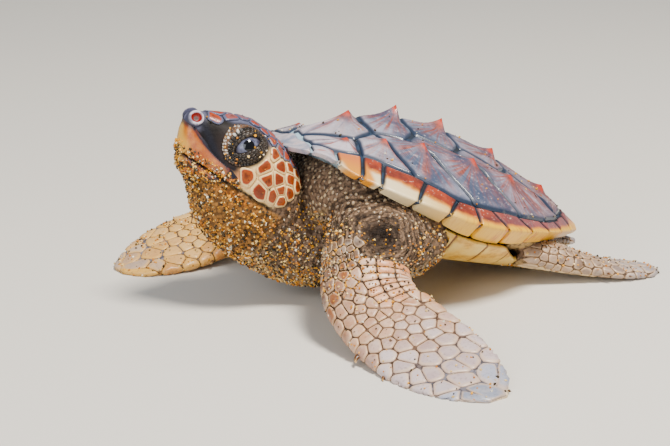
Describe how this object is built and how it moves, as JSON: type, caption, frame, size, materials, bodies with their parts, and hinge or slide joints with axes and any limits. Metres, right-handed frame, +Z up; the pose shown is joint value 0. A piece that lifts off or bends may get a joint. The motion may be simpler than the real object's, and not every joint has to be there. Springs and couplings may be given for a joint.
{
  "type": "sea turtle",
  "caption": "Young loggerhead sea turtle, a life-size still model, pushing itself up on its front flippers with the head raised.",
  "frame": {"origin": "the flat spot where the back of the plastron rests on the floor, near the animal's middle plane", "axes": "-X forwards (towards the snout), +X towards the tail, -Y the animal's left, +Y its right, +Z up from the floor"},
  "size_m": [0.1329, 0.1392, 0.0505],
  "materials": {
    "carapace": "horny plates, damp satin sheen",
    "plastron": "horny plates, satin",
    "body_skin": "wrinkled grey-brown skin with sand grains",
    "head_skin": "scaled, rust-brown scales with pale borders",
    "beak_horn": "smooth horn",
    "eye": "wet, glossy",
    "flipper_skin": "scaled, pinkish grey and ochre"
  },
  "bodies": {
    "root": {"carapace": "carapace", "plastron": "plastron", "trunk": "body_skin", "head": "head_skin", "lower_jaw": "head_skin", "beak_upper": "beak_horn", "beak_lower": "beak_horn", "eye_left": "eye", "eye_right": "eye", "neck": "body_skin", "upper_arm_left": "body_skin", "upper_arm_right": "body_skin", "front_flipper_left": "flipper_skin", "front_flipper_right": "flipper_skin", "hind_flipper_left": "flipper_skin", "hind_flipper_right": "flipper_skin", "tail": "body_skin"}
  },
  "joints": []
}
